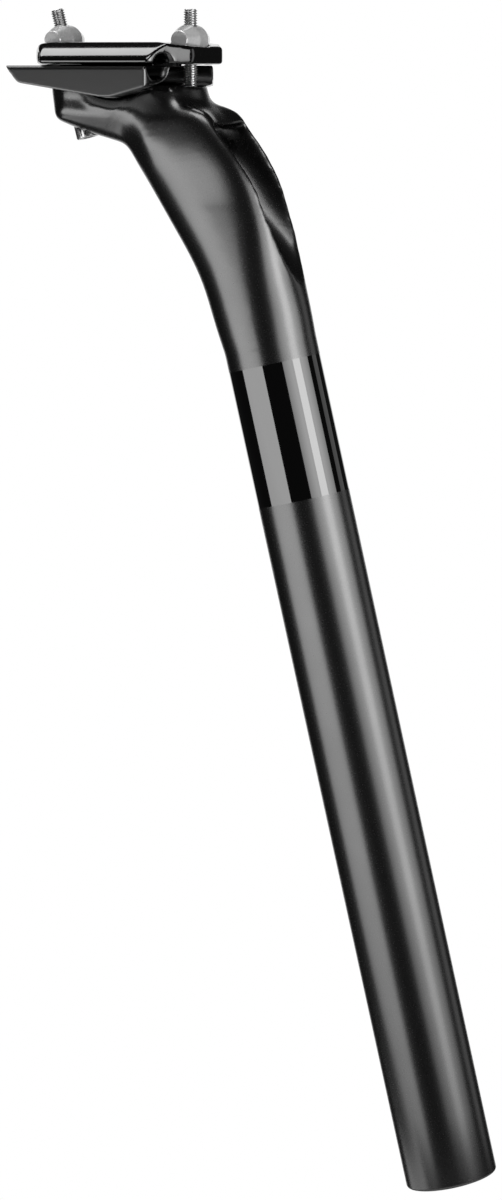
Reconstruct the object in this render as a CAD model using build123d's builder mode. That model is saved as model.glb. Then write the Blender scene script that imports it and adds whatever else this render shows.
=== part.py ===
from build123d import *
from math import cos, radians, sin
import os

# Driving dimensions, in millimetres and degrees.
# The origin is the centre of the tube's bottom end, +Z runs up the tube and +X points forward.

# Tube
tube_diameter = 27.2
tube_wall = 2.4
tube_length = 250.0
tube_end_rounding = 1.0

# Saddle rails
setback = 24.5
neck_rise = 91.5
rail_tilt = 13.2
rail_diameter = 7.0
rail_spacing = 44.0
rail_clearance = 0.1

# Clamp halves, in the clamp's own frame: x runs along the rails, and z stands square to them from their axis
clamp_side_wall = 1.9
upper_bottom = 0.9
upper_top = 6.9
hood_width = 9.3
hood_overlap = 0.3
hood_fullness = 0.35
keel_drop = 0.4
keel_front = 12.0
keel_inset = 0.8
tongue_half_width = 12.0
tongue_half_length = 24.7
tongue_reach = 7.9
tongue_end_bottom = 0.3
tongue_end_top = 5.7
tongue_corner_rounding = 0.8
lip_corner_rounding = 2.0
upper_edge_rounding = 0.6

lower_top = 0.2
wing_rear_tip = 27.8
wing_rear_foot = 23.9
wing_rear_depth = 4.7
wing_foot_rounding = 3.0
wing_keel = 4.0
wing_keel_depth = 9.0
wing_keel_rounding = 14.0
wing_front = 19.0
wing_front_depth = 4.9
wing_end_setback = 1.1
wing_end_slant = 0.4
wing_wall = 1.4
wing_edge_bevel = 0.8
mouth_bevel = 1.0
web_half_length = 11.5
web_drop = 1.0
rocker_depth = 9.2
rocker_gap = 0.2

# Bolts, barrel nuts and domed washers
bolt_diameter = 4.0
bolt_length = 34.5
bolt_head_diameter = 7.0
bolt_head_height = 4.0
bolt_head_rounding = 0.4
bolt_socket = 3.0
bolt_socket_depth = 2.2
bolt_tip_chamfer = 0.4
bolt_top = 16.4
front_bolt_inset = 5.55
front_bolt_lean = 0.0
rear_bolt_inset = 6.0
rear_bolt_lean = 14.8
nut_rise = 0.7
nut_radius = 4.3
nut_half_length = 9.2
nut_end_radius = 2.5
nut_barrel_half_length = 3.2
nut_thread_clearance = 0.2
nut_seat_clearance = 0.15
nut_slot_travel = 2.0
washer_radius = 3.4
washer_hole_clearance = 0.2
washer_seat_clearance = 0.15

# Head of the post
head_side = 0.4
head_wing_gap = 0.8
head_drop = 5.6
nose_reach = 4.9
nose_bow = 8.8
nose_slope = 7.0
nose_rounding = 3.0
lug_reach = 3.25
lug_bow = 4.2
lug_slope = 14.0
ledge_drop = 11.5
ledge_reach = 2.85
ledge_roll = 9.0
ledge_roll_turn = 53.0
throat_rounding = 6.0
bolt_hole_clearance = 0.4
bolt_slot_travel = 0.8
bolt_head_clearance = 0.7

# Scooped recess in the front of the neck
scoop_wall = 2.6
scoop_tip_lift = 0.4
scoop_tip_rise = 18.0
scoop_behind_bolt = 9.8
scoop_roof_rise = 1.0
# Shares of its length from the tip, with shares of its greatest half width
scoop_stations = [(0.0, 0.65), (0.6, 0.97), (1.0, 1.0)]

# Neck stations, with heights as shares of the neck's rise, shifts as shares of the setback and half widths as
# shares of the tube's radius: back height, back shift, front height, front shift, half width, fullness of the
# back and of the front
round_fullness = 0.5523
neck_stations = [
    (0.186, 0.057, 0.186, -0.006, 1.007, round_fullness, 0.60),
    (0.350, 0.155, 0.361, 0.006, 1.037, round_fullness, 0.74),
    (0.503, 0.335, 0.530, 0.082, 1.066, 0.57, 0.88),
    (0.650, 0.514, 0.683, 0.294, 1.066, 0.60, 0.93),
    (0.754, 0.645, 0.776, 0.457, 1.044, 0.62, 0.94),
    (0.852, 0.710, 0.863, 0.590, 1.037, 0.66, 0.92),
    (0.962, 0.751, 0.962, 0.678, 1.037, 0.66, 0.90),
]
neck_start = 2.5

# Overhang stations, with places as shares of the nose's reach and depths as shares of the greatest depth
# under the head's top: place along the rails, depth, fullness of the underside
overhang_depth = 21.0
overhang_stations = [
    (0.450, 1.000, 0.62),
    (0.127, 0.876, 0.64),
    (-0.212, 0.748, 0.67),
    (-0.550, 0.636, 0.71),
    (-0.805, 0.524, 0.75),
    (-1.070, 0.410, 0.80),
]

# Derived places
tube_radius = tube_diameter / 2
bore_radius = tube_radius - tube_wall
rail_height = tube_length + neck_rise
rail_half_spacing = rail_spacing / 2
channel_radius = rail_diameter / 2 + rail_clearance
trough_radius = channel_radius + wing_wall
clamp_half_width = rail_half_spacing + channel_radius + clamp_side_wall
hood_edge = clamp_half_width + hood_overlap
lip_half_length = tongue_half_length - tongue_reach
wing_end = lip_half_length - wing_end_setback
bolt_radius = bolt_diameter / 2
nut_height = upper_top + nut_rise
rocker_radius = nut_height + rocker_depth
head_half_width = tube_radius + head_side
scoop_half_width = head_half_width - scoop_wall
wing_inner = head_half_width + head_wing_gap
front_bolt_x = tongue_half_length - front_bolt_inset
rear_bolt_x = rear_bolt_inset - tongue_half_length
head_rear = nose_reach - rear_bolt_x
head_front = front_bolt_x + lug_reach
ledge_end = front_bolt_x + ledge_reach
reach = 4 * clamp_half_width

tilt = radians(rail_tilt)
rail_along = Vector(cos(tilt), 0, -sin(tilt))
clamp_up = Vector(sin(tilt), 0, cos(tilt))
clamp_origin = Vector(-setback, 0, rail_height)
plan_plane = Plane(origin=clamp_origin, x_dir=rail_along, z_dir=clamp_up)
side_plane = Plane(origin=clamp_origin, x_dir=rail_along, z_dir=(0, -1, 0))
end_plane = Plane(origin=clamp_origin, x_dir=(0, 1, 0), z_dir=rail_along)
along_rails = Axis(clamp_origin, rail_along)
square_to_rails = Axis(clamp_origin, clamp_up)


def leaning_down(degrees):
    """The direction down the clamp's frame, leaning to the front as it goes."""
    return rail_along * sin(radians(degrees)) - clamp_up * cos(radians(degrees))


def bolt_seat(x_at_rails, lean_degrees):
    """The plane under a bolt's head: its normal runs up the bolt and its y axis runs across the bike."""
    lean = radians(lean_degrees)
    up = clamp_up * cos(lean) - rail_along * sin(lean)
    along = rail_along * cos(lean) + clamp_up * sin(lean)
    tip = clamp_origin + rail_along * x_at_rails + up * (bolt_top / cos(lean))
    return Plane(origin=tip - up * bolt_length, x_dir=along, z_dir=up)


def nut_plane(seat, lean_degrees):
    """The plane through a barrel nut's centre, square to its bolt."""
    return seat.offset(bolt_length - (bolt_top - nut_height) / cos(radians(lean_degrees)))


def nut_outline(clearance):
    """Half the barrel nut's outline, from its axis outwards, grown by a clearance."""
    end = nut_half_length + clearance
    return [
        (0, -end),
        (nut_end_radius + clearance, -end),
        (nut_radius + clearance, -nut_barrel_half_length),
        (nut_radius + clearance, nut_barrel_half_length),
        (nut_end_radius + clearance, end),
        (0, end),
    ]


def wing_front_end(across):
    """Where the slanted front end of the lower clamp lies, at a distance across from the middle."""
    return wing_end + (clamp_half_width - across) * wing_end_slant


seats = {
    "front": bolt_seat(front_bolt_x, front_bolt_lean),
    "rear": bolt_seat(rear_bolt_x, rear_bolt_lean),
}
nut_planes = {
    "front": nut_plane(seats["front"], front_bolt_lean),
    "rear": nut_plane(seats["rear"], rear_bolt_lean),
}
washer_planes = {
    end: Plane(origin=seat.origin, x_dir=seat.x_dir, z_dir=(0, -1, 0)) for end, seat in seats.items()
}

os.makedirs("parts", exist_ok=True)


# Cutter for the scooped recess, a slanted round-bottomed groove that widens up to its roof under the front lug
scoop_tip = Vector(tube_radius + scoop_tip_lift, 0, tube_length + scoop_tip_rise)
scoop_end = seats["front"].origin - rail_along * scoop_behind_bolt
scoop_rise = scoop_end - scoop_tip
scoop_plane = Plane(origin=scoop_tip, x_dir=Vector(0, 1, 0).cross(scoop_rise), z_dir=scoop_rise)
scoop_top = scoop_rise.length + 2 * scoop_roof_rise
with BuildPart() as scoop:
    for place, width in scoop_stations:
        half_width = width * scoop_half_width
        with BuildSketch(scoop_plane.offset(place * scoop_top)):
            with Locations((half_width, 0)):
                Circle(half_width)
                Rectangle(reach, 2 * half_width, align=(Align.MIN, Align.CENTER))
    loft()
    split(bisect_by=seats["front"].offset(scoop_roof_rise), keep=Keep.BOTTOM)


# Cutter for the ledge in front of the lug: flat beside the lug, then rolling over into the neck's front
with BuildPart() as ledge:
    with BuildSketch(side_plane):
        with BuildLine():
            Line((0, -ledge_drop), (ledge_end, -ledge_drop))
            roll = CenterArc((ledge_end, -ledge_drop - ledge_roll), ledge_roll, 90, -ledge_roll_turn)
            run_out = Line(roll @ 1, roll @ 1 + (roll % 1) * reach)
            Polyline(run_out @ 1, (reach, reach), (0, reach), (0, -ledge_drop))
        make_face()
    extrude(amount=reach, both=True)
    with BuildSketch(plan_plane.offset(-head_drop)):
        with BuildLine():
            lug_arc = ThreePointArc(
                (head_front - lug_bow, head_half_width),
                (head_front, 0),
                (head_front - lug_bow, -head_half_width),
            )
            Polyline(
                lug_arc @ 1,
                (head_front - lug_bow, -reach),
                (reach, -reach),
                (reach, reach),
                (head_front - lug_bow, reach),
                lug_arc @ 0,
            )
        make_face()
    extrude(amount=reach, dir=leaning_down(lug_slope), mode=Mode.INTERSECT)


# Post: tube, curved neck and head in one piece
with BuildPart() as seatpost:
    for height in (tube_length, tube_length + neck_start):
        with BuildSketch(Plane.XY.offset(height)):
            with BuildLine():
                for quarter in range(4):
                    CenterArc((0, 0), tube_radius, 90 * quarter, 90)
            make_face()
    for back_height, back_shift, front_height, front_shift, width, back_full, front_full in neck_stations:
        back = Vector(-tube_radius - back_shift * setback, 0, tube_length + back_height * neck_rise)
        front = Vector(tube_radius - front_shift * setback, 0, tube_length + front_height * neck_rise)
        forward = front - back
        half_depth = forward.length / 2
        half_width = width * tube_radius
        front_x = front_full * half_depth
        front_y = front_full * half_width
        back_x = -back_full * half_depth
        back_y = back_full * half_width
        station = Plane(origin=(back + front) * 0.5, x_dir=forward, z_dir=forward.cross(Vector(0, 1, 0)))
        with BuildSketch(station):
            with BuildLine():
                Bezier((half_depth, 0), (half_depth, front_y), (front_x, half_width), (0, half_width))
                Bezier((0, half_width), (back_x, half_width), (-half_depth, back_y), (-half_depth, 0))
                Bezier((-half_depth, 0), (-half_depth, -back_y), (back_x, -half_width), (0, -half_width))
                Bezier((0, -half_width), (front_x, -half_width), (half_depth, -front_y), (half_depth, 0))
            make_face()
    loft()
    with BuildSketch(plan_plane.offset(-head_drop)):
        Rectangle(reach, reach)
    extrude(amount=reach, mode=Mode.SUBTRACT)

    for place, depth, fullness in overhang_stations:
        underside = -head_drop - depth * overhang_depth
        side_z = -head_drop - fullness * depth * overhang_depth
        bottom_y = fullness * head_half_width
        with BuildSketch(end_plane.offset(place * head_rear)):
            with BuildLine():
                top = Line((head_half_width, -head_drop), (-head_half_width, -head_drop))
                Bezier(top @ 1, (-head_half_width, side_z), (-bottom_y, underside), (0, underside))
                Bezier((0, underside), (bottom_y, underside), (head_half_width, side_z), top @ 0)
            make_face()
    loft()
    fillet(seatpost.edges(Select.NEW), throat_rounding)

    with BuildSketch(plan_plane.offset(-head_drop)):
        with BuildLine():
            nose_arc = ThreePointArc(
                (nose_bow - head_rear, head_half_width),
                (-head_rear, 0),
                (nose_bow - head_rear, -head_half_width),
            )
            Polyline(
                nose_arc @ 1,
                (nose_bow - head_rear, -reach),
                (-reach, -reach),
                (-reach, reach),
                (nose_bow - head_rear, reach),
                nose_arc @ 0,
            )
        make_face()
    extrude(amount=2 * overhang_depth, dir=leaning_down(nose_slope), mode=Mode.SUBTRACT)
    nose_rim = seatpost.edges().filter_by(GeomType.BSPLINE).sort_by(along_rails)[0]
    fillet(nose_rim, nose_rounding)

    add(ledge.part, mode=Mode.SUBTRACT)
    add(scoop.part, mode=Mode.SUBTRACT)
    with BuildSketch(Plane.XY):
        Circle(tube_radius)
    extrude(amount=tube_length)

    with BuildSketch(side_plane):
        with Locations((0, nut_height)):
            Circle(rocker_radius + rocker_gap)
    extrude(amount=2 * head_half_width, both=True, mode=Mode.SUBTRACT)

    for end, seat in seats.items():
        with Locations(seat):
            Sphere(washer_radius + washer_seat_clearance, mode=Mode.SUBTRACT)
        with BuildSketch(seat):
            Circle(bolt_head_diameter / 2 + bolt_head_clearance)
        extrude(amount=-2 * bolt_head_height, mode=Mode.SUBTRACT)
        with BuildSketch(seat):
            SlotCenterToCenter(bolt_slot_travel, bolt_diameter + 2 * bolt_hole_clearance)
        extrude(amount=bolt_length, mode=Mode.SUBTRACT)

    with BuildSketch(Plane.XZ):
        with BuildLine():
            Polyline((0, tube_length), (0, 0), (bore_radius, 0), (bore_radius, tube_length - bore_radius))
            CenterArc((0, tube_length - bore_radius), bore_radius, 0, 90)
        make_face()
    revolve(axis=Axis.Z, mode=Mode.SUBTRACT)
    bottom_rim = seatpost.edges().filter_by(GeomType.CIRCLE).group_by(Axis.Z)[0].sort_by(SortBy.RADIUS)[-1]
    fillet(bottom_rim, tube_end_rounding)

seatpost.part.label = "seatpost"
export_step(seatpost.part, "parts/seatpost.step")


# Lower clamp: two rail wings on a web whose round underside rocks in the head
with BuildPart() as lower_clamp:
    with BuildSketch(side_plane):
        with Locations((0, nut_height)):
            Circle(rocker_radius)
        with Locations((0, -web_drop)):
            Rectangle(2 * web_half_length, reach, align=(Align.CENTER, Align.MAX), mode=Mode.INTERSECT)
    extrude(amount=wing_inner, both=True)
    with BuildSketch(side_plane.offset(wing_inner)) as wing:
        with BuildLine():
            Polyline(
                (-wing_rear_tip, lower_top),
                (-wing_rear_foot, -wing_rear_depth),
                (wing_keel, -wing_keel_depth),
                (wing_front, -wing_front_depth),
                (tongue_half_length, -wing_front_depth),
                (tongue_half_length, lower_top),
                close=True,
            )
        make_face()
        fillet(wing.vertices().sort_by(Axis.Y)[0], wing_keel_rounding)
        fillet(wing.vertices().sort_by(Axis.X)[1], wing_foot_rounding)
    extrude(amount=clamp_half_width - wing_inner)
    mirror(about=Plane.XZ)
    with BuildSketch(plan_plane):
        with BuildLine():
            Polyline(
                (wing_front_end(reach), reach),
                (wing_front_end(0), 0),
                (wing_front_end(reach), -reach),
                (reach, -reach),
                (reach, reach),
                close=True,
            )
        make_face()
    extrude(amount=reach, both=True, mode=Mode.SUBTRACT)
    top_edges = lower_clamp.edges().filter_by(along_rails).group_by(square_to_rails)[-1].sort_by(Axis.Y)
    chamfer([top_edges[0], top_edges[-1]], wing_edge_bevel)
    with BuildSketch(end_plane):
        with Locations((-rail_half_spacing, 0), (rail_half_spacing, 0)):
            Circle(channel_radius)
    extrude(amount=reach, both=True, mode=Mode.SUBTRACT)
    chamfer(lower_clamp.edges().filter_by(GeomType.ELLIPSE), mouth_bevel)
    with BuildSketch(end_plane.offset(web_half_length)):
        Rectangle(rail_spacing, reach)
        with Locations((-rail_half_spacing, 0), (rail_half_spacing, 0)):
            Circle(trough_radius, mode=Mode.SUBTRACT)
            Rectangle(2 * trough_radius, reach, align=(Align.CENTER, Align.MIN), mode=Mode.SUBTRACT)
    extrude(amount=reach, mode=Mode.SUBTRACT)

lower_clamp.part.label = "lower_clamp"
export_step(lower_clamp.part, "parts/lower_clamp.step")


# Upper clamp: a bridge with two rounded hoods over the rails and a tongue for each nut
with BuildPart() as upper_clamp:
    with BuildSketch(side_plane) as side_view:
        with BuildLine():
            Polyline(
                (-tongue_half_length, tongue_end_bottom),
                (-lip_half_length, upper_bottom),
                (lip_half_length, upper_bottom),
                (tongue_half_length, tongue_end_bottom),
                (tongue_half_length, tongue_end_top),
                (lip_half_length, upper_top),
                (-lip_half_length, upper_top),
                (-tongue_half_length, tongue_end_top),
                close=True,
            )
        make_face()
        tongue_tips = side_view.vertices().group_by(Axis.X)
        fillet(tongue_tips[0] + tongue_tips[-1], upper_edge_rounding)
    extrude(amount=reach, both=True)
    with BuildSketch(plan_plane) as plan_view:
        with BuildLine():
            Polyline(
                (tongue_half_length, tongue_half_width),
                (lip_half_length, clamp_half_width),
                (-lip_half_length, clamp_half_width),
                (-tongue_half_length, tongue_half_width),
                (-tongue_half_length, -tongue_half_width),
                (-lip_half_length, -clamp_half_width),
                (lip_half_length, -clamp_half_width),
                (tongue_half_length, -tongue_half_width),
                close=True,
            )
        make_face()
        plan_corners = plan_view.vertices().group_by(Axis.Y)
        fillet(plan_corners[0] + plan_corners[-1], lip_corner_rounding)
        tongue_corners = plan_view.vertices().group_by(Axis.X)
        fillet(tongue_corners[0] + tongue_corners[-1], tongue_corner_rounding)
    extrude(amount=reach, both=True, mode=Mode.INTERSECT)
    with BuildSketch(end_plane):
        with BuildLine():
            hood_foot = (hood_edge, upper_bottom)
            hood_side = (hood_edge, upper_bottom + hood_fullness * (upper_top - upper_bottom))
            hood_over = (hood_edge - (1 - hood_fullness) * hood_width, upper_top)
            hood_top = (hood_edge - hood_width, upper_top)
            hood = Bezier(hood_foot, hood_side, hood_over, hood_top)
            far_hood = mirror(hood, about=Plane.YZ)
            Line(hood @ 1, far_hood @ 1)
            Polyline(
                far_hood @ 0,
                (-hood_edge, -upper_top),
                (hood_edge, -upper_top),
                hood @ 0,
            )
        make_face()
    extrude(amount=reach, both=True, mode=Mode.INTERSECT)
    with BuildSketch(plan_plane.offset(-keel_drop)):
        with Locations((keel_inset - tongue_half_length, 0)):
            Rectangle(
                tongue_half_length - keel_inset + keel_front,
                2 * (tongue_half_width - keel_inset),
                align=(Align.MIN, Align.CENTER),
            )
    extrude(amount=keel_drop + upper_top / 2)
    with BuildSketch(end_plane):
        with Locations((-rail_half_spacing, 0), (rail_half_spacing, 0)):
            Circle(channel_radius)
    extrude(amount=reach, both=True, mode=Mode.SUBTRACT)
    for end, centre in nut_planes.items():
        with BuildSketch(centre):
            with BuildLine():
                Polyline(*nut_outline(nut_seat_clearance), close=True)
            make_face()
        revolve(axis=Axis(centre.origin, (0, 1, 0)), mode=Mode.SUBTRACT)
        with BuildSketch(centre):
            SlotCenterToCenter(nut_slot_travel, bolt_diameter + 2 * bolt_hole_clearance)
        extrude(amount=-reach, mode=Mode.SUBTRACT)

upper_clamp.part.label = "upper_clamp"
export_step(upper_clamp.part, "parts/upper_clamp.step")


# Bolts, nuts and washers, one of each for either end
for end, seat in seats.items():
    with BuildPart() as bolt:
        with BuildSketch(seat):
            Circle(bolt_radius)
        extrude(amount=bolt_length)
        tip_face = bolt.faces().sort_by(Axis(seat.origin, seat.z_dir))[-1]
        chamfer(tip_face.edges(), bolt_tip_chamfer)
        with BuildSketch(seat):
            Circle(bolt_head_diameter / 2)
        extrude(amount=-bolt_head_height)
        head_face = bolt.faces().sort_by(Axis(seat.origin, seat.z_dir))[0]
        fillet(head_face.edges(), bolt_head_rounding)
        with BuildSketch(seat.offset(-bolt_head_height)):
            RegularPolygon(bolt_socket / 2, 6, major_radius=False)
        extrude(amount=bolt_socket_depth, mode=Mode.SUBTRACT)
    bolt.part.label = f"{end}_bolt"
    export_step(bolt.part, f"parts/{end}_bolt.step")

    with BuildPart() as nut:
        with BuildSketch(nut_planes[end]):
            with BuildLine():
                Polyline(*nut_outline(0), close=True)
            make_face()
        revolve(axis=Axis(nut_planes[end].origin, (0, 1, 0)))
        with BuildSketch(nut_planes[end]):
            Circle(bolt_radius + nut_thread_clearance)
        extrude(amount=reach, both=True, mode=Mode.SUBTRACT)
    nut.part.label = f"{end}_nut"
    export_step(nut.part, f"parts/{end}_nut.step")

    with BuildPart() as washer:
        with BuildSketch(washer_planes[end]):
            Circle(washer_radius)
            Rectangle(reach, reach, align=(Align.MIN, Align.MIN), mode=Mode.INTERSECT)
        revolve(axis=Axis(seat.origin, seat.z_dir))
        with BuildSketch(seat):
            Circle(bolt_radius + washer_hole_clearance)
        extrude(amount=2 * washer_radius, mode=Mode.SUBTRACT)
    washer.part.label = f"{end}_washer"
    export_step(washer.part, f"parts/{end}_washer.step")
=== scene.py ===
"""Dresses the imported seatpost: black post and saddle clamp, threaded bolts and turned barrel nuts."""

import logging
import math
from dataclasses import dataclass, field
from enum import Enum
from typing import Sequence

import bmesh
import bpy
import numpy as np
from mathutils import Matrix, Vector


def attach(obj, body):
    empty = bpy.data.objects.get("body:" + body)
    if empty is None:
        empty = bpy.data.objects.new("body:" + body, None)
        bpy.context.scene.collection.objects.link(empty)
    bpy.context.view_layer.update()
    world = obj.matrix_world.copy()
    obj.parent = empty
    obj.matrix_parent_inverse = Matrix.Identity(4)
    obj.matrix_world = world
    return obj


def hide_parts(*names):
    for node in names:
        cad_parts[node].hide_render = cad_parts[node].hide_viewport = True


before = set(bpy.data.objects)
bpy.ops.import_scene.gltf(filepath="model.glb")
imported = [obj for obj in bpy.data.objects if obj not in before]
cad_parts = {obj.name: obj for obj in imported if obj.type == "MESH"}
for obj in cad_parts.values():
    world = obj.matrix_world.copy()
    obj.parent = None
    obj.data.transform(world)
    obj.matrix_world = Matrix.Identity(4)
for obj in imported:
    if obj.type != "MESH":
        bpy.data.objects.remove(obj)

log = logging.getLogger("seatpost")

Socket = bpy.types.NodeSocket

# Most of a noise texture's values lie between these two.
NOISE_SPAN = (0.3, 0.7)

# Share of the way to its neighbours' middle that a point moves in one round of softening.
SOFTENING = 0.5

# Share of the way to the corners' tangent planes that a split CAD facet bows out.
BOW = 0.6


class Slot(Enum):
    """The record's material slots."""

    POST = "post_black"
    CLAMP = "clamp_black"
    BOLT = "bolt_steel"
    NUT = "nut_steel"


class Body(Enum):
    """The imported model's bodies."""

    POST = "post"
    CLAMP = "clamp"
    FRONT_BARREL = "front_barrel"
    REAR_BARREL = "rear_barrel"
    REAR_SCREW = "rear_screw"


class Mix(Enum):
    """What a mix node mixes, with the places of its two inputs and its output among its sockets."""

    FLOAT = (2, 3, 0)
    RGBA = (6, 7, 2)


class NodeSheet:
    """A small helper that lays out shader nodes."""

    def __init__(self, tree: bpy.types.NodeTree) -> None:
        """Takes a node tree and empties it."""
        self.tree = tree
        tree.nodes.clear()

    def add(self, kind: str, **settings: object) -> bpy.types.Node:
        """Adds a node.

        Args:
            kind: Blender's identifier of the node.
            settings: Properties of the node to set.

        Returns:
            The new node.
        """
        node = self.tree.nodes.new(kind)
        for name, value in settings.items():
            setattr(node, name, value)
        return node

    def link(self, source: Socket, target: Socket) -> None:
        """Joins two sockets."""
        self.tree.links.new(source, target)

    def feed(self, target: Socket, value: object) -> None:
        """Links a socket to another one, or sets its value.

        Args:
            target: The socket to feed.
            value: A socket or a plain value.
        """
        if isinstance(value, Socket):
            self.link(value, target)
        else:
            target.default_value = value

    def math(self, operation: str, first: object, second: object = 0.0) -> Socket:
        """Adds a math node.

        Args:
            operation: Blender's name of the operation.
            first: A socket or a number.
            second: A socket or a number.

        Returns:
            The socket with the result.
        """
        node = self.add("ShaderNodeMath", operation=operation)
        self.feed(node.inputs[0], first)
        self.feed(node.inputs[1], second)
        return node.outputs[0]

    def axis(self, vector: Socket, name: str) -> Socket:
        """Takes one axis out of a vector.

        Args:
            vector: The vector to take apart.
            name: X, Y or Z.

        Returns:
            The socket with that axis.
        """
        node = self.add("ShaderNodeSeparateXYZ")
        self.link(vector, node.inputs[0])
        return node.outputs[name]

    def span(
        self, value: Socket, source: tuple[float, float], result: tuple[float, float] = (0.0, 1.0)
    ) -> Socket:
        """Maps a value from one span to another, clamped at the ends.

        Args:
            value: The value to map.
            source: Start and end of the span that comes in.
            result: What the start and the end give.

        Returns:
            The socket with the result.
        """
        node = self.add("ShaderNodeMapRange")
        self.link(value, node.inputs["Value"])
        for name, number in zip(("From Min", "From Max", "To Min", "To Max"), (*source, *result)):
            node.inputs[name].default_value = number
        return node.outputs["Result"]

    def noise(self, place: Socket, scale: float) -> Socket:
        """Adds a noise texture.

        Args:
            place: The coordinates to read.
            scale: Waves per metre.

        Returns:
            The socket with the noise, around one half.
        """
        node = self.add("ShaderNodeTexNoise")
        self.link(place, node.inputs["Vector"])
        node.inputs["Scale"].default_value = scale
        return node.outputs["Fac"]

    def mix(self, kind: Mix, factor: Socket, first: object, second: object) -> Socket:
        """Mixes two numbers or colours.

        Args:
            kind: What is mixed.
            factor: How much of the second one.
            first: A socket or a plain value.
            second: A socket or a plain value.

        Returns:
            The socket with the mixture.
        """
        node = self.add("ShaderNodeMix", data_type=kind.name)
        first_place, second_place, result_place = kind.value
        self.link(factor, node.inputs[0])
        self.feed(node.inputs[first_place], first)
        self.feed(node.inputs[second_place], second)
        return node.outputs[result_place]

    def bump(self, height: Socket, distance: float, strength: float) -> Socket:
        """Adds a bump node.

        Args:
            height: The height to read.
            distance: Height of a full step, in metres.
            strength: How much of the bump shows.

        Returns:
            The socket with the bumped normal.
        """
        node = self.add("ShaderNodeBump")
        self.link(height, node.inputs["Height"])
        node.inputs["Distance"].default_value = distance
        node.inputs["Strength"].default_value = strength
        return node.outputs["Normal"]


def grey(value: float) -> tuple[float, float, float, float]:
    """A neutral colour of that linear brightness."""
    return (value, value, value, 1.0)


def held(value: float, low: float = 0.0, high: float = 1.0) -> float:
    """A value held between two others."""
    return min(max(value, low), high)


def ease(value: float, low: float, high: float) -> float:
    """Runs softly from 0 at one value to 1 at another."""
    share = held((value - low) / (high - low))
    return share * share * (3.0 - 2.0 * share)


@dataclass(frozen=True)
class Finish:
    """A metal finish with a fine grain in its colour, roughness and surface.

    Attributes:
        name: Name of the material.
        shade: Linear brightness of the metal's reflection.
        roughness: Mean roughness.
        metallic: Share of the metal's own reflection.
        shade_play: How far the brightness strays, as a share of it.
        roughness_play: How far the roughness strays.
        grain: Grains per metre.
        cloud: Grains across one patch of stray brightness.
        grain_height: Height of the grain, in metres.
        grain_strength: How much of the grain shows.
    """

    name: str
    shade: float
    roughness: float
    metallic: float = 1.0
    shade_play: float = 0.1
    roughness_play: float = 0.03
    grain: float = 2500.0
    cloud: float = 40.0
    grain_height: float = 0.00001
    grain_strength: float = 0.2

    def material(self) -> bpy.types.Material:
        """Builds the material.

        Returns:
            The material.
        """
        made = bpy.data.materials.new(self.name)
        made.use_nodes = True
        sheet = NodeSheet(made.node_tree)
        output = sheet.add("ShaderNodeOutputMaterial")
        shader = sheet.add("ShaderNodeBsdfPrincipled")
        shader.inputs["Metallic"].default_value = self.metallic
        sheet.link(shader.outputs["BSDF"], output.inputs["Surface"])
        place = sheet.add("ShaderNodeTexCoord").outputs["Object"]
        colour, rough, height = self.surface(sheet, place)
        sheet.link(colour, shader.inputs["Base Color"])
        sheet.link(rough, shader.inputs["Roughness"])
        normal = sheet.bump(height, self.grain_height, self.grain_strength)
        sheet.link(normal, shader.inputs["Normal"])
        return made

    def surface(self, sheet: NodeSheet, place: Socket) -> tuple[Socket, Socket, Socket]:
        """Lays out what varies over the surface.

        Args:
            sheet: The node sheet to add to.
            place: Coordinates fixed to the piece.

        Returns:
            The sockets with the colour, the roughness and the grain's height.
        """
        patches = sheet.noise(place, self.grain / self.cloud)
        fine = sheet.noise(place, self.grain)
        dim, bright = grey(self.shade * (1.0 - self.shade_play)), grey(self.shade * (1.0 + self.shade_play))
        rough_span = (self.roughness - self.roughness_play, self.roughness + self.roughness_play)
        return sheet.mix(Mix.RGBA, patches, dim, bright), sheet.span(fine, NOISE_SPAN, rough_span), fine


@dataclass(frozen=True)
class BandedFinish(Finish):
    """A satin finish with a polished band round the tube.

    Attributes:
        band_low: Height of the band's lower edge, in metres.
        band_high: Height of the band's upper edge, in metres.
        band_edge: Width over which the band's edge fades, in metres.
        band_shade: Linear brightness of the band's reflection.
        band_roughness: Roughness of the band.
    """

    band_low: float = 0.20707
    band_high: float = 0.24760
    band_edge: float = 0.0001
    band_shade: float = 0.13
    band_roughness: float = 0.05

    def surface(self, sheet: NodeSheet, place: Socket) -> tuple[Socket, Socket, Socket]:
        """Lays out what varies, with a band that is set apart by height and has no grain.

        Args:
            sheet: The node sheet to add to.
            place: Coordinates fixed to the piece.

        Returns:
            The sockets with the colour, the roughness and the grain's height.
        """
        satin, rough, grain = super().surface(sheet, place)
        height = sheet.axis(place, "Z")
        above = sheet.span(height, (self.band_low, self.band_low + self.band_edge))
        below = sheet.span(height, (self.band_high - self.band_edge, self.band_high), (1.0, 0.0))
        band = sheet.math("MULTIPLY", above, below)
        colour = sheet.mix(Mix.RGBA, band, satin, grey(self.band_shade))
        rough = sheet.mix(Mix.FLOAT, band, rough, self.band_roughness)
        return colour, rough, sheet.math("MULTIPLY", grain, sheet.math("SUBTRACT", 1.0, band))


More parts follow.
